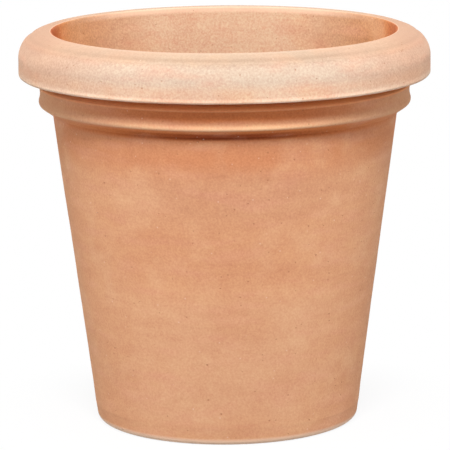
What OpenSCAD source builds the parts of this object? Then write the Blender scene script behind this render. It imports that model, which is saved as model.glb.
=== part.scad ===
// Large round flower pot of fired clay with a double border: a heavy rolled rim
// over a smaller collar moulding, on a wall that tapers to a narrower foot.
// It is built as a potter builds it, from pieces that are scored, slipped and
// pressed together before firing: a base slab, the wall that stands on it, a coil
// pressed into the corner inside, and the two mouldings turned round the top.
// The pot stands on z = 0 with its axis on Z, and each piece is turned round Z.

/* [Pot] */
// Height from the floor to the top of the rim
pot_h = 480; // [420:5:560]
// Outside diameter over the rolled rim, the widest part
rim_d = 500; // [470:5:560]
// Outside diameter that the wall's taper would reach at the floor
foot_d = 319; // [280:1:360]
// Thickness of the wall, square to its face
wall_t = 16.5; // [13:0.5:20]

/* [Base] */
// Thickness of the base slab, from the floor to the inside
base_t = 22; // [18:1:30]
// Radius of the rubbed corner between the outside and the floor
foot_round = 9; // [4:1:12]
// Width of the flat ring that the pot stands on
foot_ring_w = 22; // [14:1:34]
// Depth of the hollow inside that ring
foot_hollow = 3; // [2:0.5:6]
// Diameter of the drain hole
drain_d = 32; // [20:1:50]
// Width of the bevel at each end of the drain hole
drain_bevel = 2; // [1:0.5:4]
// Radius of the cove that the corner coil makes inside
coil_r = 14; // [8:1:20]

/* [Rolled rim] */
// Height of the roll, from its underside to the top of the pot
roll_h = 55; // [47:1:62]
// Distance that the roll stands out from the wall's line at its widest
roll_out = 31; // [27:1:34]
// Radius of the roll's full shoulder
roll_r = 32; // [28:1:35]
// Radius of the crisp corner under the roll
roll_corner_r = 4; // [2:0.5:8]
// Rise of the roll's underside towards the wall, in degrees
roll_undercut = 4; // [0:1:12]
// Depth of the wall's end below the top of the rim, where the rim seats on it
rim_seat_depth = 28; // [22:1:34]
// Radius of the lip's inner edge
lip_r = 3; // [2:0.5:9]
// Depth of the line tooled along the shoulder
shoulder_line_depth = 1.1; // [0:0.1:2]
// Width of that line
shoulder_line_w = 10; // [6:1:14]
// Height of that line round the shoulder, in degrees above its widest point
shoulder_line_at = 53; // [45:1:68]

/* [Collar moulding] */
// Height of the plain neck between the collar and the roll
neck_h = 9; // [6:1:20]
// Height of the collar's face, from its arris to the middle of its lower edge
collar_face_h = 21; // [16:0.5:30]
// Distance that the collar's lower edge stands out from the wall
collar_out = 14.4; // [12:0.2:18]
// Radius of the collar's lower edge
collar_edge_r = 6.5; // [3:0.5:8]
// Radius of the small arris at the top of the collar's face
arris_r = 2; // [1:0.5:4]
// Lean of the hollow face at its top and bottom, in degrees
face_lean = 18; // [6:1:26]
// Slope of the collar's underside, in degrees from level
collar_under_slope = 34; // [20:1:50]
// Slope of the ledge on top of the collar, in degrees from level
ledge_slope = 12; // [0:1:25]

/* [Hidden] */

// Faces round the axis, and the turn from one point of a drawn arc to the next
round_faces = 144;
arc_turn = 5;
// Points nearer than this are one point
same_point = 0.001;

body_clay = "#D99A6C";
rim_clay = "#EDBF9B";

// The wall's line: the roll's overhang and the foot's diameter set its taper
wall_taper = (rim_d / 2 - roll_out - foot_d / 2) / (pot_h - roll_r);
wall_lean = atan(wall_taper);
wall_across = wall_t / cos(wall_lean);
function wall_outside(z) = foot_d / 2 + wall_taper * z;
function wall_inside(z) = wall_outside(z) - wall_across;

// Heights of the mouldings, counted down from the top of the pot
wall_end_z = pot_h - rim_seat_depth;
roll_z = pot_h - roll_h;
arris_z = roll_z - neck_h;
collar_edge_z = arris_z - collar_face_h;

// Unit vector at an angle in the plane of an outline, where x is the radius
function towards(angle) = [cos(angle), sin(angle)];

// Points of an arc about a centre, from one angle to another
function arc(centre, radius, from, to) =
    let (steps = max(1, ceil(abs(to - from) / arc_turn)))
    [for (i = [0:steps]) centre + radius * towards(from + (to - from) * i / steps)];

// Point where a line from a point meets the outside of the wall
function on_wall(point, direction) =
    let (run = (point.x - wall_outside(point.y)) / (wall_taper * direction.y - direction.x))
    point + run * direction;

// Outline with each point that repeats the next one left out
function once_each(points) =
    [for (i = [0:len(points) - 1])
        if (norm(points[i] - points[(i + 1) % len(points)]) > same_point) points[i]];

module turned(outline) {
    rotate_extrude($fn = round_faces) polygon(once_each(outline));
}

// Round slab with the drain hole through it, hollowed below so that it stands on
// a ring, and with the wall's own slope above its rubbed lower corner
module base_disc() {
    drain_r = drain_d / 2;
    corner = [wall_outside(foot_round) - foot_round / cos(wall_lean), foot_round];
    ring_inside = corner.x - foot_ring_w;
    outline = concat(
        [[drain_r, foot_hollow + drain_bevel],
         [drain_r + drain_bevel, foot_hollow],
         [ring_inside - foot_hollow, foot_hollow],
         [ring_inside, 0]],
        arc(corner, foot_round, -90, -wall_lean),
        [[wall_outside(base_t), base_t],
         [drain_r + drain_bevel, base_t],
         [drain_r, base_t - drain_bevel]]);
    color(body_clay) turned(outline);
}

// Coil pressed into the corner of floor and wall, smoothed to a cove
module corner_coil() {
    centre_z = base_t + coil_r;
    centre = [wall_inside(centre_z) - coil_r / cos(wall_lean), centre_z];
    outline = concat(
        arc(centre, coil_r, -90, -wall_lean),
        [[wall_inside(base_t), base_t]]);
    color(body_clay) turned(outline);
}

// Tapered wall, from its seat on the base slab to its seat in the rim
module pot_wall() {
    outline = [
        [wall_inside(base_t), base_t],
        [wall_outside(base_t), base_t],
        [wall_outside(wall_end_z), wall_end_z],
        [wall_inside(wall_end_z), wall_end_z]];
    color(body_clay) turned(outline);
}

// Collar: a sloping ledge, a small arris, a hollow face and a rounded lower edge,
// each running into the next, and an underside that slopes back to the wall
module collar_moulding() {
    edge = [wall_outside(collar_edge_z) + collar_out - collar_edge_r, collar_edge_z];
    face_foot = edge + collar_edge_r * towards(face_lean);
    face_top_z = arris_z - arris_r - arris_r * sin(face_lean);
    face_r = (face_top_z - face_foot.y) / (2 * sin(face_lean));
    face_centre = face_foot + face_r * towards(face_lean);
    face_top = face_centre + face_r * towards(180 - face_lean);
    arris = face_top - arris_r * towards(-face_lean);
    under_from = edge + collar_edge_r * towards(collar_under_slope - 90);
    ledge_from = arris + arris_r * towards(90 - ledge_slope);
    outline = concat(
        [on_wall(under_from, towards(180 + collar_under_slope))],
        arc(edge, collar_edge_r, collar_under_slope - 90, face_lean),
        arc(face_centre, face_r, 180 + face_lean, 180 - face_lean),
        arc(arris, arris_r, -face_lean, 90 - ledge_slope),
        [on_wall(ledge_from, towards(180 - ledge_slope))]);
    color(body_clay) turned(outline);
}

// Radius of the roll's shoulder at an angle, drawn in along the tooled line
function shoulder_radius(angle) =
    let (half_turn = shoulder_line_w / 2 / roll_r * 180 / PI,
         across = min(1, abs(angle - shoulder_line_at) / half_turn))
    roll_r - shoulder_line_depth * (1 + cos(180 * across)) / 2;

// Rim: rounded lip, level top, full shoulder with its tooled line, upright side
// and crisp lower corner, notched below to sit over the end of the wall
module rolled_rim() {
    lip = [wall_inside(pot_h - lip_r) + lip_r / cos(wall_lean), pot_h - lip_r];
    shoulder = [rim_d / 2 - roll_r, pot_h - roll_r];
    corner = [rim_d / 2 - roll_corner_r, roll_z + roll_corner_r];
    under_from = corner + roll_corner_r * towards(roll_undercut - 90);
    shoulder_steps = 36;
    outline = concat(
        [[wall_inside(wall_end_z), wall_end_z]],
        arc(lip, lip_r, 180 - wall_lean, 90),
        [for (i = [0:shoulder_steps])
            let (angle = 90 * (1 - i / shoulder_steps))
            shoulder + shoulder_radius(angle) * towards(angle)],
        arc(corner, roll_corner_r, 0, roll_undercut - 90),
        [on_wall(under_from, towards(180 - roll_undercut)),
         [wall_outside(wall_end_z), wall_end_z]]);
    color(rim_clay) turned(outline);
}

base_disc();
corner_coil();
pot_wall();
collar_moulding();
rolled_rim();
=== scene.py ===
"""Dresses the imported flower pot: its clay pieces as turned and pressed, their fired finish, and a studio.

Outlines are drawn in millimetres, as radius and height. Each mesh is made in metres, in the CAD's frame.
"""

import logging
import math
from dataclasses import dataclass, replace
from enum import Enum
from itertools import pairwise
from typing import Any, ClassVar, NamedTuple

import bpy
from mathutils import Matrix, Vector


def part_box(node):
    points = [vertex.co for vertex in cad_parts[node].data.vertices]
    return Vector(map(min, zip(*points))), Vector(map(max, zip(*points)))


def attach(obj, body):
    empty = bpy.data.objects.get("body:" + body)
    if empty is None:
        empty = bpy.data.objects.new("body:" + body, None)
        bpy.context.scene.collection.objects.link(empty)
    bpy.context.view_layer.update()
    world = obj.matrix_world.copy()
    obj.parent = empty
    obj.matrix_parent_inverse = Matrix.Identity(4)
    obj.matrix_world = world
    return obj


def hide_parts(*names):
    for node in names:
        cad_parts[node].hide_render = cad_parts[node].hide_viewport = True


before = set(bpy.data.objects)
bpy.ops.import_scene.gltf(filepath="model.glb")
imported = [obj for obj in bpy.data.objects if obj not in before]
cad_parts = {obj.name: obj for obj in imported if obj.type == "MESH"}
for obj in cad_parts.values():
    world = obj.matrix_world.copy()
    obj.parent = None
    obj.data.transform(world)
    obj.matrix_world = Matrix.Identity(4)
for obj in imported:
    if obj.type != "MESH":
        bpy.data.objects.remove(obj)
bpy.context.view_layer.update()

LOG = logging.getLogger("flower_pot")
BODY = "root"

MM = 0.001
# Faces round the axis, and the turn in degrees from one point of a drawn arc to the next
FACES_ROUND = 384
ARC_TURN = 6.0
# Points nearer than this, in millimetres, are one point
SAME_POINT = 0.001
# A point of a mesh within this many millimetres of a face counts as on it
NEAR = 1.0
# Faces that meet at less than this angle are shaded as one curve
SMOOTH_ANGLE = math.radians(38)

# Sockets of the Mix node when it mixes colours, and its colour output
MIX_FACTOR, MIX_A, MIX_B, MIX_COLOUR = 0, 6, 7, 2


class Point(NamedTuple):
    """A point of an outline, in millimetres."""

    radius: float
    height: float

    def moved(self, angle: float, distance: float) -> "Point":
        """Returns the point at a distance from this one, along an angle in degrees above outwards."""
        turn = math.radians(angle)
        return Point(self.radius + distance * math.cos(turn), self.height + distance * math.sin(turn))


Outline = list[Point]


def arc(centre: Point, radius: float, start: float, end: float) -> Outline:
    """Draws an arc about a centre.

    Args:
        centre: The arc's centre.
        radius: Its radius in millimetres.
        start: The angle of its first point, in degrees above outwards.
        end: The angle of its last point.

    Returns:
        The arc's points, from start to end.
    """
    steps = max(1, math.ceil(abs(end - start) / ARC_TURN))
    return [centre.moved(start + (end - start) * i / steps, radius) for i in range(steps + 1)]


def stepped(outline: Outline, longest: float) -> Outline:
    """Splits the straight stretches of an outline, so that the clay can be uneven along them.

    Args:
        outline: The points of an outline. The stretch from its last point back to its first stays whole.
        longest: The longest step to leave, in millimetres.

    Returns:
        The outline with points added and repeated points left out.
    """
    points = [outline[0]]
    for here, there in pairwise(outline):
        length = math.dist(here, there)
        if length < SAME_POINT:
            continue
        steps = math.ceil(length / longest)
        for i in range(1, steps + 1):
            share = i / steps
            points.append(
                Point(
                    here.radius + (there.radius - here.radius) * share,
                    here.height + (there.height - here.height) * share,
                )
            )
    return points


@dataclass(frozen=True)
class WallLine:
    """The tapered line of the wall, which every piece follows.

    Attributes:
        foot_radius: Radius that the outside would reach at the floor, in millimetres.
        taper: Growth of the radius for each millimetre of height.
        across: Thickness of the wall, measured level, in millimetres.
        slab_top: Height of the slab's top, where the wall and the coil stand.
        wall_end: Height of the wall's end, where the rim sits.
    """

    foot_radius: float
    taper: float
    across: float
    slab_top: float
    wall_end: float

    @classmethod
    def from_frame(cls) -> "WallLine":
        """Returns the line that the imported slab, wall and coil follow."""
        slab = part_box("base_disc")[1] / MM
        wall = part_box("pot_wall")[1] / MM
        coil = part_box("corner_coil")[1] / MM
        taper = (wall.x - slab.x) / (wall.z - slab.z)
        return cls(slab.x - taper * slab.z, taper, slab.x - coil.x, slab.z, wall.z)

    @property
    def lean(self) -> float:
        """The wall's lean from upright, in degrees."""
        return math.degrees(math.atan(self.taper))

    def outside(self, height: float) -> float:
        """Returns the outside radius at a height."""
        return self.foot_radius + self.taper * height

    def inside(self, height: float) -> float:
        """Returns the inside radius at a height."""
        return self.outside(height) - self.across

    def level(self, distance: float) -> float:
        """Returns the level width of a distance that is measured square to the wall."""
        return distance / math.cos(math.radians(self.lean))

    def met_from(self, start: Point, angle: float) -> Point:
        """Finds where a straight run meets the outside of the wall.

        Args:
            start: The point that the run leaves.
            angle: Its direction, in degrees above outwards.

        Returns:
            The point on the wall's outside.
        """
        turn = math.radians(angle)
        gap = start.radius - self.outside(start.height)
        return start.moved(angle, gap / (self.taper * math.sin(turn) - math.cos(turn)))


def linear(colour: str) -> tuple[float, float, float, float]:
    """Turns an sRGB colour into linear light.

    Args:
        colour: Six hex digits after a hash.

    Returns:
        Red, green, blue and a full alpha, in linear light.
    """
    parts = [int(colour[i : i + 2], 16) / 255 for i in (1, 3, 5)]
    # The sRGB curve is straight for the darkest parts and a power above them
    return (*[c / 12.92 if c <= 0.04045 else ((c + 0.055) / 1.055) ** 2.4 for c in parts], 1.0)


def add_node(
    tree: bpy.types.NodeTree,
    kind: str,
    settings: dict[str | int, Any] | None = None,
    links: dict[str | int, bpy.types.NodeSocket] | None = None,
) -> bpy.types.Node:
    """Adds a node with its settings and links.

    Args:
        tree: The node tree that gets it.
        kind: The node's type name.
        settings: Values for its properties by name, or for its input sockets by name or number.
        links: Output sockets of other nodes, by the input socket that each feeds.

    Returns:
        The new node.
    """
    node = tree.nodes.new(kind)
    for key, value in (settings or {}).items():
        if isinstance(key, str) and hasattr(node, key):
            setattr(node, key, value)
        else:
            node.inputs[key].default_value = value
    for key, socket in (links or {}).items():
        tree.links.new(socket, node.inputs[key])
    return node


class Tone(Enum):
    """The tones of the one clay, by what happened to its skin before and in the kiln, and since, and of
    painted shade and light.
    """

    # The plain skins: warm where it was sponged, paler where it was rubbed, and dry inside
    WIPED = "#DBA57C"
    RUBBED = "#DDBDA3"
    INSIDE = "#E2C1A2"
    # What the flame did: redder where it licked, pink in streaks, buff where it missed; a duskier tone; and
    # painted shade inside
    FLUSHED = "#D2956D"
    INSIDE_FLUSHED = "#BF8558"
    DUSKY = "#C6977A"
    BLUSH = "#E0A588"
    BUFF = "#E0B089"
    # A warm painted highlight on the collar's arris, and painted shade, deep and red, in its hollows and
    # the inside's corners
    LEDGE = "#EC9A5C"
    HOLLOW = "#CF6F2A"
    CREVICE = "#9A400C"
    # What hands and weather did: a chalky bloom, and greyer where it is held; and a greyer tone for the
    # rim's ends
    CHALKY = "#D6C1AD"
    HANDLED = "#C3A890"
    WEATHERED = "#B48E78"
    # Pale edges, part wear and part painted light: highlights on the roll's corner and the collar, bounce
    # light on the foot
    PALE_EDGE = "#F8D9BF"
    WARM_EDGE = "#FFD0A2"
    # What lies in the clay: holes where bits burnt out, and grains of lime
    PIT = "#AE6E45"
    LIME = "#F4DCC6"


class Handling(Enum):
    """How the potter left a surface before it was fired, with the share at which its grit shows."""

    # A wet sponge lays the grit down in slip, which leaves an even, soft skin
    WIPED = 0.12
    # Rubbing it nearly dry breaks that skin, and the grit stands out a little
    RUBBED = 0.17
    # As it was turned, it is the most granular
    THROWN = 0.2


class Face(Enum):
    """A face of the wall, by the depths at which it begins and is full.

    Depths lie below the wall's outer line and are shares of its thickness.
    """

    OUTER = (0.84, 0.72)
    INNER = (0.81, 0.91)


class Layer(Enum):
    """Where a band lies among the coats, which says what it lies over; for the clay's own tones, that is
    when it came about.
    """

    RAW = "before the kiln's clouds"
    FIRED = "after the clouds, under the grit"
    WORN = "over the grit"


class Places(NamedTuple):
    """Sockets that say where on the pot a spot of clay lies.

    Attributes:
        point: Its Object coordinates.
        height: Its height in metres.
        depth: Its depth below the wall's outer line, as a share of the wall's thickness.
        aside: How far round to the pot's left or right it lies, from 0 to 1.
    """

    point: bpy.types.NodeSocket
    height: bpy.types.NodeSocket
    depth: bpy.types.NodeSocket
    aside: bpy.types.NodeSocket


class Coat(NamedTuple):
    """A tone or a pattern laid over the clay, with the share at which it shows and how it is blended."""

    paint: Tone | bpy.types.NodeSocket
    share: bpy.types.NodeSocket | float
    blend: str = "MIX"


@dataclass(frozen=True)
class Band:
    """A level band of another tone round the pot, with heights in millimetres.

    Attributes:
        tone: The band's tone.
        strength: Share of that tone where the band is full.
        low: Height at which it begins.
        full_from: Height from which it is full.
        full_to: Height to which it is full.
        high: Height at which it has faded.
        begins: How far round to the pot's left or right it begins, from 0 to 1, or below 0 for all round.
        full: How far round it is full. Where this is the smaller, the band lies in the middle.
        face: The face of the wall that it lies on.
        layer: Where it lies among the coats.
    """

    tone: Tone
    strength: float
    low: float
    full_from: float
    full_to: float
    high: float
    begins: float = -1.0
    full: float = -0.5
    face: Face = Face.OUTER
    layer: Layer = Layer.RAW

    def coat(self, tree: bpy.types.NodeTree, places: Places) -> Coat:
        """Finds where the band shows.

        Args:
            tree: The material's node tree.
            places: Where each spot of clay lies.

        Returns:
            The band as a coat.
        """
        rising = {"From Min": self.low * MM, "From Max": self.full_from * MM, "To Max": self.strength}
        face_begins, face_full = self.face.value
        limits = (
            (places.height, rising),
            (places.height, {"From Min": self.high * MM, "From Max": self.full_to * MM}),
            (places.aside, {"From Min": self.begins, "From Max": self.full}),
            (places.depth, {"From Min": face_begins, "From Max": face_full}),
        )
        soft = {"interpolation_type": "SMOOTHSTEP"}
        shares = [
            add_node(tree, "ShaderNodeMapRange", soft | settings, {"Value": place}).outputs[0]
            for place, settings in limits
        ]
        share = shares[0]
        for other in shares[1:]:
            both = {0: share, 1: other}
            share = add_node(tree, "ShaderNodeMath", {"operation": "MULTIPLY"}, both).outputs[0]
        return Coat(self.tone, share)


class Relief(NamedTuple):
    """A pattern that raises or sinks the clay's skin, with its strength and its depth in millimetres."""

    pattern: bpy.types.NodeSocket
    strength: float
    depth_mm: float
    sunk: bool = False


@dataclass(frozen=True)
class FiredClay:
    """Unglazed earthenware, turned wet, pressed by hand and fired to terracotta.

    To the eye it is quite matt, granular where grit stands in the skin, and flecked with pits and lime. It
    is flushed and pale in soft clouds where the kiln's flame passed, and chalky where it was rubbed. Shade
    is painted into it, darker and redder, in the hollows about the mouldings and at the inside's left and
    right, and its edges are painted pale, part wear and part painted highlight.

    Attributes:
        name: The finish's name, for the clay and how its surface was made.
        slot: The name of the record's material slot for it, which is passed on but not given to anything.
        skin: The tone of the plain surface.
        handling: How the surface was left.
        line: The wall's line, which parts outside from inside.
        bands: The level bands of other tones, from the lowest coat.
        grit_mm: Size of the grit. Real grit is about half as wide; it is drawn coarser so that it shows.
        mottle_mm: Size of the small blotches of an uneven body.
        cloud_mm: Size of the kiln's flushed clouds.
        wisp_mm: Size of the paler wisps among them.
        smear_mm: Length of the sponge's smears, which run level round the pot.
        mark_mm: Length of the turning marks, which run level too.
        fleck_mm: Spacing of the pits and grains of lime, of which only a few reach the surface.
        cloud_share: Share at which clouds and wisps show where they are full.
        blush_share: Share at which the pink streaks show.
        smear_share: Share at which the smears show.
        mottle_share: Share at which the blotches show.
        pit_share: Share at which the pits show.
        lime_share: Share at which the lime shows.
        ragged: How far the grit breaks the edges of pits and lime, as a share of their spacing.
        pit_roughness: Roughness between the grains, as dull as unglazed clay is.
        grit_roughness: Roughness of the grains, which hands have rubbed a little smoother.
        shine: Strength of the reflection, a little under that of a closed, glassy surface.
    """

    name: str
    slot: str
    skin: Tone
    handling: Handling
    line: WallLine
    bands: tuple[Band, ...]
    grit_mm: float = 2.4
    mottle_mm: float = 15.0
    cloud_mm: float = 95.0
    wisp_mm: float = 52.25
    smear_mm: float = 70.0
    mark_mm: float = 90.0
    fleck_mm: float = 8.0
    cloud_share: float = 0.36
    blush_share: float = 0.32
    smear_share: float = 0.12
    mottle_share: float = 0.1
    pit_share: float = 0.5
    lime_share: float = 0.4
    ragged: float = 0.3
    pit_roughness: float = 0.94
    grit_roughness: float = 0.8
    shine: float = 0.4

    def material(self) -> bpy.types.Material:
        """Builds the finish as a node material on Object coordinates.

        Returns:
            The material.
        """
        material = bpy.data.materials.new(self.name)
        material.use_nodes = True
        tree = material.node_tree
        tree.nodes.clear()
        places = self._places(tree)
        grain = self._spots(tree, places.point, self.grit_mm, detail=4.0, roughness=0.6)
        pits, lime = self._flecks(tree, places.point, grain)
        # Noise keeps near 0.5, so the grit is stretched to run from 0 to 1
        sharpened = {"From Min": 0.32, "From Max": 0.68}
        grit = add_node(tree, "ShaderNodeMapRange", sharpened, {"Value": grain}).outputs[0]
        plain = add_node(tree, "ShaderNodeRGB")
        plain.outputs[0].default_value = linear(self.skin.value)
        colour = plain.outputs[0]
        flecks = (Coat(Tone.PIT, pits), Coat(Tone.LIME, lime))
        for coat in (*self._coats(tree, places, grit), *flecks):
            settings: dict[str | int, Any] = {"data_type": "RGBA", "blend_type": coat.blend}
            links = {MIX_A: colour}
            if isinstance(coat.paint, Tone):
                settings[MIX_B] = linear(coat.paint.value)
            else:
                links[MIX_B] = coat.paint
            if isinstance(coat.share, float):
                settings[MIX_FACTOR] = coat.share
            else:
                links[MIX_FACTOR] = coat.share
            colour = add_node(tree, "ShaderNodeMix", settings, links).outputs[MIX_COLOUR]
        matt = add_node(
            tree,
            "ShaderNodeMapRange",
            {"To Min": self.pit_roughness, "To Max": self.grit_roughness},
            {"Value": grit},
        )
        surface = add_node(
            tree,
            "ShaderNodeBsdfPrincipled",
            {"Specular IOR Level": self.shine, "Diffuse Roughness": 1.0},
            {
                "Base Color": colour,
                "Roughness": matt.outputs[0],
                "Normal": self._skin(tree, places.point, grain, pits),
            },
        )
        add_node(tree, "ShaderNodeOutputMaterial", links={"Surface": surface.outputs[0]})
        return material

    def _places(self, tree: bpy.types.NodeTree) -> Places:
        """Finds where each spot of clay lies on the pot.

        Args:
            tree: The material's node tree.

        Returns:
            The sockets that say so.
        """
        point = add_node(tree, "ShaderNodeTexCoord").outputs["Object"]
        axes = add_node(tree, "ShaderNodeSeparateXYZ", links={0: point})
        across, back, height = (axes.outputs[name] for name in "XYZ")
        level = add_node(tree, "ShaderNodeCombineXYZ", links={"X": across, "Y": back})
        reach = add_node(tree, "ShaderNodeVectorMath", {"operation": "LENGTH"}, {0: level.outputs[0]})
        radius = reach.outputs["Value"]
        taper, foot = self.line.taper, self.line.foot_radius * MM
        wall = add_node(
            tree, "ShaderNodeMath", {"operation": "MULTIPLY_ADD", 1: taper, 2: foot}, {0: height}
        ).outputs[0]
        inwards = {0: wall, 1: radius}
        behind = add_node(tree, "ShaderNodeMath", {"operation": "SUBTRACT"}, inwards).outputs[0]
        thickness = self.line.across * MM
        depth = add_node(tree, "ShaderNodeMath", {"operation": "DIVIDE", 1: thickness}, {0: behind})
        sideways = {0: across, 1: radius}
        share = add_node(tree, "ShaderNodeMath", {"operation": "DIVIDE"}, sideways).outputs[0]
        aside = add_node(tree, "ShaderNodeMath", {"operation": "ABSOLUTE"}, {0: share})
        return Places(point, height, depth.outputs[0], aside.outputs[0])

    @staticmethod
    def _spots(
        tree: bpy.types.NodeTree,
        point: bpy.types.NodeSocket,
        size_mm: float,
        detail: float = 3.0,
        roughness: float = 0.5,
        stretch: tuple[float, float, float] = (1.0, 1.0, 1.0),
        seed: float = 0.0,
    ) -> bpy.types.NodeSocket:
        """Draws soft spots of a real size.

        Args:
            tree: The material's node tree.
            point: Object coordinates.
            size_mm: Size of the spots in millimetres.
            detail: Octaves of finer spots.
            roughness: How strong the finer ones are.
            stretch: Factors that squeeze the spots along X, Y and Z.
            seed: Shift of the pattern in metres, so that two patterns of a size don't coincide.

        Returns:
            The socket of the spots' strength, from 0 to 1 about 0.5.
        """
        at = add_node(
            tree,
            "ShaderNodeMapping",
            {"Location": (seed, -seed, 0.5 * seed), "Scale": stretch},
            {"Vector": point},
        )
        noise = add_node(
            tree,
            "ShaderNodeTexNoise",
            {"Scale": 1 / (size_mm * MM), "Detail": detail, "Roughness": roughness},
            {"Vector": at.outputs[0]},
        )
        return noise.outputs[0]

    def _coats(self, tree: bpy.types.NodeTree, places: Places, grit: bpy.types.NodeSocket) -> list[Coat]:
        """Lists what lies over the plain clay: bands, the kiln's clouds, blush, smears, blotches and grit.

        Args:
            tree: The material's node tree.
            places: Where each spot of clay lies.
            grit: Strength of the grit.

        Returns:
            The coats, from the lowest.
        """
        point = places.point
        clouds = self._spots(tree, point, self.cloud_mm)
        wisps = self._spots(tree, point, self.wisp_mm, seed=0.7)
        face_begins, face_full = Face.INNER.value
        # Inside, the wall is as it was turned, whatever was done to its outside
        handled = {"To Min": self.handling.value, "To Max": Handling.THROWN.value}
        # A pattern begins to show at the first limit of its strength, and is full at the second
        patterns = (
            (clouds, {"From Min": 0.45, "From Max": 0.7, "To Max": self.cloud_share}),
            (wisps, {"From Min": 0.48, "From Max": 0.7, "To Max": self.cloud_share}),
            (places.depth, {"From Min": face_begins, "From Max": face_full} | handled),
        )
        soft = {"interpolation_type": "SMOOTHSTEP"}
        hot, mild, gritty = (
            add_node(tree, "ShaderNodeMapRange", soft | limits, {"Value": value}).outputs[0]
            for value, limits in patterns
        )
        smears = self._spots(tree, point, self.smear_mm, detail=4.0, stretch=(1.0, 1.0, 5.0), seed=1.9)
        streaks = self._spots(tree, point, self.smear_mm, stretch=(1.0, 1.0, 4.0), seed=8.3)
        faint = {"From Min": 0.5, "From Max": 0.72, "To Max": self.blush_share}
        blush = add_node(tree, "ShaderNodeMapRange", faint, {"Value": streaks})
        blotches = self._spots(tree, point, self.mottle_mm, seed=3.1)
        laid = {
            layer: [band.coat(tree, places) for band in self.bands if band.layer is layer]
            for layer in Layer
        }
        return [
            *laid[Layer.RAW],
            Coat(Tone.FLUSHED, hot),
            Coat(Tone.BUFF, mild),
            *laid[Layer.FIRED],
            Coat(Tone.BLUSH, blush.outputs[0]),
            Coat(smears, self.smear_share, "OVERLAY"),
            Coat(blotches, self.mottle_share, "OVERLAY"),
            Coat(grit, gritty, "OVERLAY"),
            *laid[Layer.WORN],
        ]

    def _flecks(
        self, tree: bpy.types.NodeTree, point: bpy.types.NodeSocket, grain: bpy.types.NodeSocket
    ) -> tuple[bpy.types.NodeSocket, bpy.types.NodeSocket]:
        """Scatters small ragged flecks through the clay: pits where bits burnt out, and grains of lime.

        Args:
            tree: The material's node tree.
            point: Object coordinates.
            grain: Strength of the grit before it is sharpened, which makes the flecks ragged.

        Returns:
            The shares of the pits and of the lime.
        """
        spacing = {"Scale": 1 / (self.fleck_mm * MM)}
        cells = add_node(tree, "ShaderNodeTexVoronoi", spacing, {"Vector": point})
        lot = add_node(tree, "ShaderNodeSeparateColor", links={0: cells.outputs["Color"]}).outputs[0]
        ragged = add_node(
            tree,
            "ShaderNodeMath",
            {"operation": "MULTIPLY_ADD", 1: self.ragged},
            {0: grain, 2: cells.outputs["Distance"]},
        ).outputs[0]
        # A fleck lies at the middle of its cell, and the cell's lot is a pit, a grain of lime or nothing
        dots = (
            (ragged, {"From Min": 0.29, "From Max": 0.22}),
            (lot, {"From Min": 0.3, "From Max": 0.29, "To Max": self.pit_share}),
            (lot, {"From Min": 0.84, "From Max": 0.85, "To Max": self.lime_share}),
        )
        near, burnt, limy = (
            add_node(tree, "ShaderNodeMapRange", limits, {"Value": value}).outputs[0]
            for value, limits in dots
        )
        pits, lime = (
            add_node(tree, "ShaderNodeMath", {"operation": "MULTIPLY"}, {0: near, 1: chosen}).outputs[0]
            for chosen in (burnt, limy)
        )
        return pits, lime

    def _skin(
        self,
        tree: bpy.types.NodeTree,
        point: bpy.types.NodeSocket,
        grain: bpy.types.NodeSocket,
        pits: bpy.types.NodeSocket,
    ) -> bpy.types.NodeSocket:
        """Makes the normal of the gritty, pitted skin over faint turning marks.

        Args:
            tree: The material's node tree.
            point: Object coordinates.
            grain: Strength of the grit before it is sharpened.
            pits: Share of the pits.

        Returns:
            The normal's socket.
        """
        marks = self._spots(tree, point, self.mark_mm, stretch=(1.0, 1.0, 14.0), seed=5.3)
        reliefs = (
            Relief(marks, strength=0.45, depth_mm=0.6),
            Relief(grain, strength=0.5, depth_mm=0.4),
            Relief(pits, strength=0.9, depth_mm=0.8, sunk=True),
        )
        normal = None
        for relief in reliefs:
            links = {"Height": relief.pattern}
            if normal is not None:
                links["Normal"] = normal
            shape = {"Strength": relief.strength, "Distance": relief.depth_mm * MM, "invert": relief.sunk}
            normal = add_node(tree, "ShaderNodeBump", shape, links).outputs[0]
        return normal


def start_fresh() -> None:
    """Returns to object mode with nothing selected, because an operator acts on all that is selected."""
    if bpy.context.mode != "OBJECT":
        bpy.ops.object.mode_set(mode="OBJECT")
    bpy.ops.object.select_all(action="DESELECT")


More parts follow.
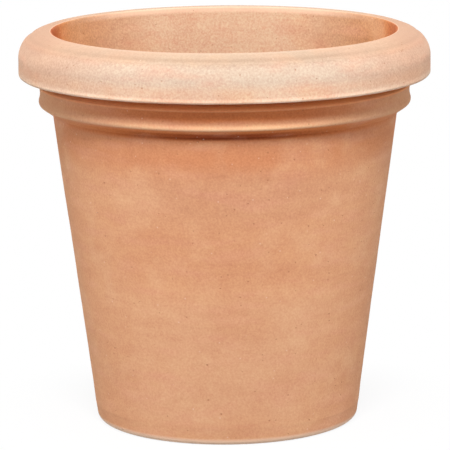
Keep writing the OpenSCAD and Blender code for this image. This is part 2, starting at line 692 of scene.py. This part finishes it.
@dataclass
class TurnedPiece:
    """A ring of clay turned round the pot's axis, and then a little uneven from drying and firing.

    Attributes:
        line: The wall's line.
        step: Longest straight step of the outline, in millimetres.
        sag_mm: Depth of the slow unevenness of a hand-turned pot, always drawn in from the true outline.
        sag_size_mm: Size of its swells.
        nick_mm: Depth of the small unevenness of a scraped surface, drawn in as well.
        nick_size_mm: Size of its hollows.
        name: The piece's name.
        node: The CAD node that it stands for.
    """

    line: WallLine
    step: float = 6.0
    sag_mm: float = 0.9
    sag_size_mm: float = 90.0
    nick_mm: float = 0.3
    nick_size_mm: float = 11.0

    name: ClassVar[str]
    node: ClassVar[str]

    def outline(self) -> Outline:
        """Returns the piece's closed outline, from one hidden edge round to another."""
        raise NotImplementedError

    def freedom(self, at: Point) -> float:
        """Returns how far the clay is free to be uneven at a point, from 0 at a seat to 1."""
        return 1.0

    def build(self, finish: bpy.types.Material, slot: str) -> bpy.types.Object:
        """Turns the piece, makes it uneven, and sets it in the frame in place of its node.

        Args:
            finish: The piece's material.
            slot: The record's material slot of that finish. It is not used.

        Returns:
            The finished piece.
        """
        piece = self._turn(stepped(self.outline(), self.step))
        self._loosen(piece)
        piece.data.materials.append(finish)
        start_fresh()
        piece.select_set(True)
        bpy.context.view_layer.objects.active = piece
        bpy.ops.object.shade_smooth_by_angle(angle=SMOOTH_ANGLE)
        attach(piece, BODY)
        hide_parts(self.node)
        LOG.info("%s stands for %s, %d faces", piece.name, self.node, len(piece.data.polygons))
        return piece

    def _turn(self, outline: Outline) -> bpy.types.Object:
        """Draws the outline out ring by ring from a circle, and bridges the last ring to the first.

        Args:
            outline: The closed outline's points.

        Returns:
            The piece, with its faces outwards and its object at the origin.
        """
        start_fresh()
        first = outline[0]
        bpy.ops.mesh.primitive_circle_add(
            vertices=FACES_ROUND,
            radius=first.radius * MM,
            fill_type="NOTHING",
            location=(0, 0, first.height * MM),
        )
        piece = bpy.context.active_object
        piece.name = piece.data.name = self.name
        bpy.ops.object.transform_apply(location=True, rotation=False, scale=False)
        bpy.ops.object.mode_set(mode="EDIT")
        bpy.ops.mesh.select_mode(type="EDGE")
        bpy.ops.mesh.select_all(action="SELECT")
        for here, there in pairwise(outline):
            rise = (there.height - here.height) * MM
            widen = there.radius / here.radius
            bpy.ops.mesh.extrude_edges_move(TRANSFORM_OT_translate={"value": (0, 0, rise)})
            bpy.ops.transform.resize(value=(widen, widen, 1), center_override=(0, 0, 0))
        bpy.ops.mesh.select_all(action="DESELECT")
        bpy.ops.mesh.select_non_manifold(
            use_wire=False, use_multi_face=False, use_non_contiguous=False, use_verts=False
        )
        bpy.ops.mesh.bridge_edge_loops()
        bpy.ops.mesh.select_all(action="SELECT")
        bpy.ops.mesh.normals_make_consistent(inside=False)
        bpy.ops.object.mode_set(mode="OBJECT")
        return piece

    def _loosen(self, piece: bpy.types.Object) -> None:
        """Draws the surface in by soft clouds, slow ones and then small ones, where the clay is free.

        Args:
            piece: The turned piece.
        """
        free = piece.vertex_groups.new(name="free_clay")
        for vertex in piece.data.vertices:
            at = Point(math.hypot(vertex.co.x, vertex.co.y) / MM, vertex.co.z / MM)
            free.add([vertex.index], self.freedom(at), "REPLACE")
        bpy.context.view_layer.objects.active = piece
        for label, depth, size in (
            ("sag", self.sag_mm, self.sag_size_mm),
            ("nick", self.nick_mm, self.nick_size_mm),
        ):
            clouds = bpy.data.textures.new(f"{self.name}_{label}", "CLOUDS")
            clouds.noise_scale = size * MM
            clouds.noise_depth = 2
            uneven = piece.modifiers.new(label, "DISPLACE")
            uneven.texture = clouds
            uneven.texture_coords = "LOCAL"
            uneven.vertex_group = free.name
            uneven.mid_level = 1.0
            uneven.strength = depth * MM
            bpy.ops.object.modifier_apply(modifier=label)


def eased(distance: float, ease: float) -> float:
    """Returns a share that grows from 0 at no distance to 1 at the ease distance."""
    return min(1.0, max(0.0, distance / ease))


@dataclass
class BaseSlab(TurnedPiece):
    """The round slab, hollowed below so that it stands on a ring, with the drain hole through it.

    Attributes:
        foot_round: Radius of the rubbed corner at the floor.
        ring_width: Width of the flat ring that it stands on.
        hollow: Depth of the hollow inside that ring.
        drain_radius: Radius of the drain hole.
        bevel: Width of the hole's bevels.
        drain_true: Width of the ring about the hole that stays true.
        drain_ease: Distance over which the clay gets free beyond that ring.
        floor_ease: Height over which it gets free above the floor.
        seat_ease: Depth over which it gets free below the wall's seat.
    """

    foot_round: float = 9.0
    ring_width: float = 22.0
    hollow: float = 3.0
    drain_radius: float = 16.0
    bevel: float = 2.0
    drain_true: float = 3.0
    drain_ease: float = 10.0
    floor_ease: float = 5.0
    seat_ease: float = 6.0
    sag_mm: float = 0.4

    name: ClassVar[str] = "foot_slab"
    node: ClassVar[str] = "base_disc"

    def outline(self) -> Outline:
        """Returns the slab's outline, from the drain hole's lower bevel round to its upper one."""
        corner_z = self.foot_round
        corner = Point(self.line.outside(corner_z) - self.line.level(corner_z), corner_z)
        ring_inside = corner.radius - self.ring_width
        top = self.line.slab_top
        return [
            Point(self.drain_radius, self.hollow + self.bevel),
            Point(self.drain_radius + self.bevel, self.hollow),
            Point(ring_inside - self.hollow, self.hollow),
            Point(ring_inside, 0.0),
            *arc(corner, self.foot_round, -90.0, -self.line.lean),
            Point(self.line.outside(top), top),
            Point(self.drain_radius + self.bevel, top),
            Point(self.drain_radius, top - self.bevel),
        ]

    def freedom(self, at: Point) -> float:
        """Keeps the ring that it stands on, the wall's seat and the drain hole true."""
        off_floor = eased(at.height, self.floor_ease)
        top = self.line.slab_top
        if at.radius > self.line.inside(top) - NEAR:
            return off_floor * eased(top - at.height, self.seat_ease)
        return off_floor * eased(at.radius - self.drain_radius - self.drain_true, self.drain_ease)


@dataclass
class CornerCoil(TurnedPiece):
    """The coil pressed into the inside corner of floor and wall, smoothed to a cove.

    Attributes:
        cove_radius: Radius of the cove.
    """

    cove_radius: float = 14.0
    step: float = 4.0

    name: ClassVar[str] = "smoothed_coil"
    node: ClassVar[str] = "corner_coil"

    def outline(self) -> Outline:
        """Returns the coil's outline, from its edge on the floor up its cove to the wall."""
        floor = self.line.slab_top
        centre_z = floor + self.cove_radius
        centre = Point(self.line.inside(centre_z) - self.line.level(self.cove_radius), centre_z)
        cove = arc(centre, self.cove_radius, -90.0, -self.line.lean)
        return [*cove, Point(self.line.inside(floor), floor)]

    def freedom(self, at: Point) -> float:
        """Keeps the whole coil true, because its edges on the floor and the wall are thin."""
        return 0.0


@dataclass
class PotWall(TurnedPiece):
    """The tapered wall, from its seat on the slab to its seat in the rim.

    Attributes:
        foot_ease: Height over which the clay gets free above the slab.
        end_ease: Depth over which it gets free below the wall's end.
    """

    foot_ease: float = 25.0
    end_ease: float = 20.0

    name: ClassVar[str] = "tapered_wall"
    node: ClassVar[str] = "pot_wall"

    def outline(self) -> Outline:
        """Returns the wall's outline, from the inside of its foot, out and up, and down the inside."""
        low, high = self.line.slab_top, self.line.wall_end
        # The last stretch isn't split, so it is kept short
        last = low + 1
        return [
            Point(self.line.inside(low), low),
            Point(self.line.outside(low), low),
            Point(self.line.outside(high), high),
            Point(self.line.inside(high), high),
            Point(self.line.inside(last), last),
        ]

    def freedom(self, at: Point) -> float:
        """Keeps the wall's two ends true, so that no seam opens."""
        above_slab = eased(at.height - self.line.slab_top, self.foot_ease)
        return above_slab * eased(self.line.wall_end - at.height, self.end_ease)


@dataclass
class Collar(TurnedPiece):
    """The collar: a sloping ledge, an arris, a hollow face, a rounded edge and a sloping underside.

    Attributes:
        arris_height: Height of the arris at the top of the face.
        face_height: Height of the face, down to the middle of the lower edge.
        stands_out: Distance that the lower edge stands out from the wall.
        edge_radius: Radius of the lower edge.
        arris_radius: Radius of the arris.
        face_lean: Lean of the hollow face at its ends, in degrees.
        under_slope: Slope of the underside, in degrees.
        ledge_slope: Slope of the ledge, in degrees.
        wall_ease: Distance from the wall over which the clay gets free.
    """

    arris_height: float = 416.0
    face_height: float = 21.0
    stands_out: float = 14.4
    edge_radius: float = 6.5
    arris_radius: float = 2.0
    face_lean: float = 18.0
    under_slope: float = 34.0
    ledge_slope: float = 12.0
    wall_ease: float = 4.0
    step: float = 4.0
    sag_mm: float = 0.5
    sag_size_mm: float = 60.0

    name: ClassVar[str] = "collar_ring"
    node: ClassVar[str] = "collar_moulding"

    def outline(self) -> Outline:
        """Returns the collar's outline, from the wall below it out, up and back to the wall above."""
        lean = self.face_lean
        edge_z = self.arris_height - self.face_height
        edge = Point(self.line.outside(edge_z) + self.stands_out - self.edge_radius, edge_z)
        face_foot = edge.moved(lean, self.edge_radius)
        face_top_z = self.arris_height - self.arris_radius * (1 + math.sin(math.radians(lean)))
        face_radius = (face_top_z - face_foot.height) / (2 * math.sin(math.radians(lean)))
        face_centre = face_foot.moved(lean, face_radius)
        arris = face_centre.moved(180 - lean, face_radius).moved(180 - lean, self.arris_radius)
        under = edge.moved(self.under_slope - 90, self.edge_radius)
        ledge = arris.moved(90 - self.ledge_slope, self.arris_radius)
        return [
            self.line.met_from(under, 180 + self.under_slope),
            *arc(edge, self.edge_radius, self.under_slope - 90, lean),
            *arc(face_centre, face_radius, 180 + lean, 180 - lean),
            *arc(arris, self.arris_radius, -lean, 90 - self.ledge_slope),
            self.line.met_from(ledge, 180 - self.ledge_slope),
        ]

    def freedom(self, at: Point) -> float:
        """Keeps the two edges that meet the wall on it."""
        return eased(at.radius - self.line.outside(at.height) - NEAR, self.wall_ease)


@dataclass
class RolledRim(TurnedPiece):
    """The rim: a rounded lip, a full shoulder with its tooled line, an upright side and a crisp corner.

    Attributes:
        radius: Outside radius of the roll.
        top: Height of the pot.
        underside: Height of the roll's lower corner.
        shoulder_radius: Radius of the shoulder.
        corner_radius: Radius of the lower corner.
        undercut: Rise of the underside towards the wall, in degrees.
        lip_radius: Radius of the lip's inner edge.
        line_depth: Depth of the tooled line.
        line_width: Its width.
        line_at: Its height round the shoulder, in degrees.
        lip_width: Width of the lip's inner side, which gets free by its height.
        lip_ease: Height over which it gets free above the wall's end.
        under_ease: Distance from the wall over which the underside gets free.
    """

    radius: float = 250.0
    top: float = 480.0
    underside: float = 425.0
    shoulder_radius: float = 32.0
    corner_radius: float = 4.0
    undercut: float = 4.0
    lip_radius: float = 3.0
    line_depth: float = 1.1
    line_width: float = 10.0
    line_at: float = 53.0
    lip_width: float = 4.0
    lip_ease: float = 12.0
    under_ease: float = 5.0
    step: float = 4.0
    sag_mm: float = 0.5
    sag_size_mm: float = 75.0

    name: ClassVar[str] = "roll_and_lip"
    node: ClassVar[str] = "rolled_rim"

    def shoulder(self) -> Outline:
        """Returns the shoulder from its top to its widest point, drawn in along the tooled line."""
        centre = Point(self.radius - self.shoulder_radius, self.top - self.shoulder_radius)
        half_turn = math.degrees(self.line_width / 2 / self.shoulder_radius)
        steps = 30
        points = []
        for i in range(steps + 1):
            angle = 90.0 * (1 - i / steps)
            across = min(1.0, abs(angle - self.line_at) / half_turn)
            drawn_in = self.line_depth * (1 + math.cos(math.pi * across)) / 2
            points.append(centre.moved(angle, self.shoulder_radius - drawn_in))
        return points

    def outline(self) -> Outline:
        """Returns the rim's outline, from its seat's inner edge over the lip and down to its outer edge."""
        seat = self.line.wall_end
        lip_z = self.top - self.lip_radius
        lip = Point(self.line.inside(lip_z) + self.line.level(self.lip_radius), lip_z)
        corner = Point(self.radius - self.corner_radius, self.underside + self.corner_radius)
        under = corner.moved(self.undercut - 90, self.corner_radius)
        return [
            Point(self.line.inside(seat), seat),
            *arc(lip, self.lip_radius, 180 - self.line.lean, 90.0),
            *self.shoulder(),
            *arc(corner, self.corner_radius, 0.0, self.undercut - 90),
            self.line.met_from(under, 180 - self.undercut),
            Point(self.line.outside(seat), seat),
        ]

    def freedom(self, at: Point) -> float:
        """Keeps the seat on the wall true, so that no seam opens."""
        if at.radius < self.line.inside(at.height) + self.lip_width:
            return eased(at.height - self.line.wall_end, self.lip_ease)
        return eased(at.radius - self.line.outside(at.height), self.under_ease)


@dataclass
class Softbox:
    """A square lamp that faces the pot's upper half.

    Attributes:
        name: The lamp's name.
        turn: Where it stands round the pot, in degrees to the right of the camera.
        rise: Its height above level, in degrees.
        distance: Its distance in metres.
        side: Its side in metres.
        watts: Its power.
        aim_height: Height of the point that it faces, on the pot's axis, in metres.
    """

    name: str
    turn: float
    rise: float
    distance: float
    side: float
    watts: float
    aim_height: float = 0.35

    def hang(self) -> None:
        """Adds the lamp to the scene."""
        turn, rise = math.radians(self.turn), math.radians(self.rise)
        level = math.cos(rise)
        outwards = Vector((math.sin(turn) * level, -math.cos(turn) * level, math.sin(rise)))
        lamp = bpy.data.lights.new(self.name, "AREA")
        lamp.shape = "SQUARE"
        lamp.size = self.side
        lamp.energy = self.watts
        holder = bpy.data.objects.new(self.name, lamp)
        bpy.context.scene.collection.objects.link(holder)
        holder.location = Vector((0, 0, self.aim_height)) + self.distance * outwards
        holder.rotation_mode = "QUATERNION"
        holder.rotation_quaternion = (-outwards).to_track_quat("-Z", "Y")


def seen(tree: bpy.types.NodeTree) -> bpy.types.NodeSocket:
    """Tells what is seen from what lights the pot.

    Args:
        tree: The node tree of a material or the world.

    Returns:
        A socket that is 1 for what the camera sees, directly, in a reflection or through glass, and else 0.
    """
    path = add_node(tree, "ShaderNodeLightPath")
    any_ray = path.outputs["Is Camera Ray"]
    for ray in ("Is Glossy Ray", "Is Transmission Ray"):
        either = {0: any_ray, 1: path.outputs[ray]}
        any_ray = add_node(tree, "ShaderNodeMath", {"operation": "MAXIMUM"}, either).outputs[0]
    return any_ray


@dataclass(frozen=True)
class BackdropPaper:
    """Uncoated paper, rolled smooth, which is matt and shows plain white but for the pot's faint shadow.

    Attributes:
        to_light: Its colour to the light, a grey that throws less of it up at the pot than white would.
        to_camera: Its colour to the camera.
        glow: Share of the white that doesn't take the pot's shadow, beside the pot.
        shadow_reach: Distance from the axis at which it no longer takes it, in metres.
        covered: Distance from the axis to which the foot covers it, which is quite dark there.
    """

    to_light: str = "#A8A8A8"
    to_camera: str = "#F4F4F4"
    glow: float = 0.9
    shadow_reach: float = 0.36
    covered: float = 0.14

    def material(self) -> bpy.types.Material:
        """Builds the paper as a node material, centred on the pot's axis.

        Returns:
            The material.
        """
        paper = bpy.data.materials.new("matt_paper")
        paper.use_nodes = True
        tree = paper.node_tree
        tree.nodes.clear()
        to_camera = seen(tree)
        colours = {MIX_A: linear(self.to_light), MIX_B: linear(self.to_camera)}
        colour = add_node(
            tree, "ShaderNodeMix", {"data_type": "RGBA"} | colours, {MIX_FACTOR: to_camera}
        ).outputs[MIX_COLOUR]
        matt = add_node(tree, "ShaderNodeBsdfDiffuse", links={"Color": colour})
        glow = add_node(tree, "ShaderNodeEmission", {"Strength": 1.0})
        point = add_node(tree, "ShaderNodeTexCoord").outputs["Object"]
        length = add_node(tree, "ShaderNodeVectorMath", {"operation": "LENGTH"}, {0: point})
        away = length.outputs["Value"]
        reach = {"From Min": 0.5 * self.shadow_reach, "From Max": self.shadow_reach, "To Min": self.glow}
        soft = {"interpolation_type": "SMOOTHSTEP"}
        plain = add_node(tree, "ShaderNodeMapRange", soft | reach, {"Value": away})
        beyond = {"operation": "GREATER_THAN", 1: self.covered}
        open_floor = add_node(tree, "ShaderNodeMath", beyond, {0: away})
        share = to_camera
        for part in (plain, open_floor):
            both = {0: share, 1: part.outputs[0]}
            share = add_node(tree, "ShaderNodeMath", {"operation": "MULTIPLY"}, both).outputs[0]
        mixed = add_node(
            tree, "ShaderNodeMixShader", links={0: share, 1: matt.outputs[0], 2: glow.outputs[0]}
        )
        add_node(tree, "ShaderNodeOutputMaterial", links={"Surface": mixed.outputs[0]})
        return paper


@dataclass
class Studio:
    """A white floor in soft even light, with the camera where the photograph was taken.

    Attributes:
        distance: From the camera to the point that it looks at, in metres.
        elevation: The camera's height above level, in degrees.
        aim: The point that it looks at.
        roll: The camera's turn about its own axis, in degrees.
        lens: Its focal length in millimetres.
        sensor: Width of its frame in millimetres.
        sight: Distance to which it sees, in metres.
        sky: Strength of the light from all round.
        floor_side: Side of the floor in metres.
        paper: The floor's finish.
    """

    distance: float = 4.2
    elevation: float = 10.96
    aim: tuple[float, float, float] = (-0.00106, 0.0, 0.23746)
    roll: float = -0.5
    lens: float = 274.4
    sensor: float = 36.0
    sight: float = 60.0
    sky: float = 0.5
    floor_side: float = 14.0
    paper: BackdropPaper = BackdropPaper()

    def lamps(self) -> tuple[Softbox, ...]:
        """Returns the lamps: a high one over the camera, a weak one at each side and one in front."""
        return (
            Softbox("key_softbox", turn=-1.5, rise=46.0, distance=2.6, side=0.8, watts=60.5),
            Softbox("left_softbox", turn=-85.0, rise=15.0, distance=2.6, side=1.2, watts=12.4),
            Softbox("right_softbox", turn=85.0, rise=15.0, distance=2.6, side=1.2, watts=10.5),
            Softbox("front_softbox", turn=0.0, rise=12.0, distance=3.0, side=1.6, watts=6.0),
        )

    def set_up(self) -> None:
        """Places the camera, the floor, the lamps and the sky."""
        self._camera()
        self._floor()
        for lamp in self.lamps():
            lamp.hang()
        self._sky()
        bpy.context.scene.view_settings.view_transform = "Standard"
        LOG.info("studio is set")

    def _camera(self) -> None:
        """Adds the camera, level but for its roll, and makes it the scene's."""
        data = bpy.data.cameras.new("camera")
        data.sensor_width = self.sensor
        data.lens = self.lens
        data.clip_end = self.sight
        camera = bpy.data.objects.new("camera", data)
        bpy.context.scene.collection.objects.link(camera)
        rise = math.radians(self.elevation)
        back = Vector((0.0, -math.cos(rise), math.sin(rise)))
        camera.rotation_mode = "QUATERNION"
        level = (-back).to_track_quat("-Z", "Y").to_matrix()
        turn = level @ Matrix.Rotation(math.radians(self.roll), 3, "Z")
        camera.rotation_quaternion = turn.to_quaternion()
        camera.location = Vector(self.aim) + self.distance * back
        bpy.context.scene.camera = camera

    def _floor(self) -> None:
        """Adds the floor and gives it its paper."""
        start_fresh()
        bpy.ops.mesh.primitive_plane_add(size=self.floor_side)
        floor = bpy.context.active_object
        floor.name = "floor"
        floor.data.materials.append(self.paper.material())

    def _sky(self) -> None:
        """Makes the world: even soft light on the pot, and plain white to the camera."""
        world = bpy.data.worlds.new("soft_sky")
        bpy.context.scene.world = world
        world.use_nodes = True
        tree = world.node_tree
        tree.nodes.clear()
        shown = {"To Min": self.sky, "To Max": 1.0}
        strength = add_node(tree, "ShaderNodeMapRange", shown, {"Value": seen(tree)}).outputs[0]
        white = {"Color": linear("#FFFFFF")}
        sky = add_node(tree, "ShaderNodeBackground", white, {"Strength": strength})
        add_node(tree, "ShaderNodeOutputWorld", links={"Surface": sky.outputs[0]})


@dataclass
class FlowerPot:
    """The whole pot: its five pieces of clay and their two finishes.

    A band is written as its tone, its strength, and the heights where it begins, is full from, is full to
    and has faded.

    Attributes:
        line: The wall's line.
    """

    line: WallLine

    def build(self) -> None:
        """Builds each piece and dresses it."""
        rim_low, rim_high = (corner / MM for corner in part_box("rolled_rim"))
        collar = Collar(self.line)
        rim = RolledRim(self.line, radius=rim_high.x, top=rim_high.z, underside=rim_low.z)
        # Terracotta wiped with a wet sponge before firing: warm, even and soft, with the grit just showing
        sponged = FiredClay(
            name="sponged_terracotta",
            slot="terracotta_body",
            skin=Tone.WIPED,
            handling=Handling.WIPED,
            line=self.line,
            bands=self._body_bands(collar, rim.underside),
        )
        # Terracotta rubbed down nearly dry: paler and chalky, with a bloom and the grit standing out
        rubbed = FiredClay(
            name="rubbed_terracotta",
            slot="terracotta_rim",
            skin=Tone.RUBBED,
            handling=Handling.RUBBED,
            line=self.line,
            bands=self._rim_bands(rim.underside, rim.top),
        )
        body_clay, rim_clay = sponged.material(), rubbed.material()
        for piece in (BaseSlab(self.line), CornerCoil(self.line), PotWall(self.line), collar):
            piece.build(body_clay, sponged.slot)
        rim.build(rim_clay, rubbed.slot)

    def _inner_bands(self) -> tuple[Band, ...]:
        """Returns the bands of the inside, with painted shade high up on the left and right, darkest at the
        corners.
        """
        above_slab, high_up, beyond = (8.0, 14.0), (150.0, 320.0), (600.0, 610.0)
        return (
            Band(Tone.INSIDE, 1.0, *above_slab, *beyond, face=Face.INNER),
            # Painted shade: the inside darker and redder towards its left and right, darkest at the corners
            Band(Tone.INSIDE_FLUSHED, 1.0, *high_up, *beyond, begins=0.3, full=0.97, face=Face.INNER),
            Band(Tone.HOLLOW, 0.5, *high_up, *beyond, begins=0.9, full=1.0, face=Face.INNER),
            Band(Tone.CREVICE, 0.8, *high_up, *beyond, begins=0.95, full=1.0, face=Face.INNER),
        )

    def _body_bands(self, collar: Collar, roll: float) -> tuple[Band, ...]:
        """Places the bands of the body: redder sides, painted shade about the collar with painted
        highlights and wear on its edges, and a pale foot edge.

        Args:
            collar: The collar, whose heights they follow.
            roll: Height of the roll's underside, in millimetres.

        Returns:
            The bands, from the lowest coat.
        """
        edge, arris = collar.arris_height - collar.face_height, collar.arris_height
        below = (-10, -5)
        middle = {"begins": 0.95, "full": 0.35}
        # Painted shade in the collar's hollows, and painted highlights with wear on its edges, over the
        # clouds
        collar_painted_light = (
            # Painted shade under the collar, strongest at the front
            Band(Tone.HOLLOW, 0.8, edge - 22, edge - 15, edge - 6, edge - 4, begins=1.3, full=0.5),
            Band(Tone.CREVICE, 1.0, edge - 19, edge - 15.5, edge - 11, edge - 7, begins=0.8, full=0.1),
            # Painted shade on the collar's face, under the roll
            Band(Tone.HOLLOW, 0.76, edge + 1, edge + 10, arris - 4, arris - 2, begins=1.1, full=0.3),
            # A warm painted highlight on the ledge and arris
            Band(Tone.LEDGE, 0.9, arris - 4, arris - 1.5, arris + 2.5, arris + 4),
            # Painted shade in the neck under the roll
            Band(Tone.HOLLOW, 0.95, arris + 2, arris + 4, roll + 2, roll + 4, begins=0.9, full=0.1),
            # The arris and lower edge, which the template rubbed, painted pale: wear and a painted
            # highlight
            Band(Tone.WARM_EDGE, 0.2, arris - 3, arris - 1.5, arris - 0.5, arris + 1),
            Band(Tone.WARM_EDGE, 0.95, edge - 5.5, edge - 2.6, edge - 2, edge + 4, begins=0.85, full=0.2),
        )
        return (
            Band(Tone.FLUSHED, 0.55, *below, edge - 22, edge - 14, begins=0.5, full=0.95),
            Band(Tone.FLUSHED, 0.5, 190, 215, 320, 345, **middle),
            Band(Tone.FLUSHED, 0.6, 290, 320, 350, 365, **middle),
            Band(Tone.RUBBED, 0.12, 0, 40, 160, 200, **middle),
            Band(Tone.DUSKY, 0.25, 250, 310, 370, 385, **middle),
            # Painted shade below the collar, fading down the wall
            Band(Tone.HOLLOW, 0.38, edge - 77, edge - 37, edge - 10, edge - 5),
            *(replace(band, layer=Layer.FIRED) for band in collar_painted_light),
            # The foot's edge painted pale: wear, and painted bounce light from the floor
            Band(Tone.PALE_EDGE, 0.95, *below, 4, 9.5, layer=Layer.WORN),
            *self._inner_bands(),
        )

    def _rim_bands(self, roll: float, top: float) -> tuple[Band, ...]:
        """Places the bands of the rim: chalky shoulder, handled top, duskier and greyer sides, and a pale
        corner and lip, part wear and part painted highlight.

        Args:
            roll: Height of the roll's underside, in millimetres.
            top: Height of the pot.

        Returns:
            The bands, from the lowest coat.
        """
        beyond = (top + 10, top + 20)
        fired = (
            Band(Tone.CHALKY, 0.9, roll + 12, roll + 28, top - 16, top - 6),
            Band(Tone.DUSKY, 0.7, roll + 3, roll + 12, *beyond, begins=0.35, full=0.95),
            Band(Tone.FLUSHED, 0.5, top - 14, top - 5, *beyond, begins=0.7, full=0.98),
        )
        worn = (
            Band(Tone.HANDLED, 0.5, top - 12, top - 6, *beyond),
            # Greyer towards the rim's left and right ends
            Band(Tone.WEATHERED, 0.5, top - 30, top - 12, *beyond, begins=0.8, full=0.97),
            Band(Tone.PALE_EDGE, 0.7, top - 9, top - 4, *beyond, begins=0.95, full=0.5, face=Face.INNER),
        )
        return (
            Band(Tone.HANDLED, 0.95, top - 18, top - 9, *beyond),
            # The roll's lower corner painted pale: wear, and a painted highlight
            Band(Tone.PALE_EDGE, 0.9, roll - 1, roll + 1, roll + 4, roll + 8, begins=1.0, full=0.5),
            *(replace(band, layer=Layer.FIRED) for band in fired),
            *(replace(band, layer=Layer.WORN) for band in worn),
            *self._inner_bands(),
        )


def main() -> None:
    """Builds the studio and the pot."""
    logging.basicConfig(level=logging.INFO, format="%(message)s")
    Studio().set_up()
    FlowerPot(WallLine.from_frame()).build()


if __name__ == "__main__":
    main()
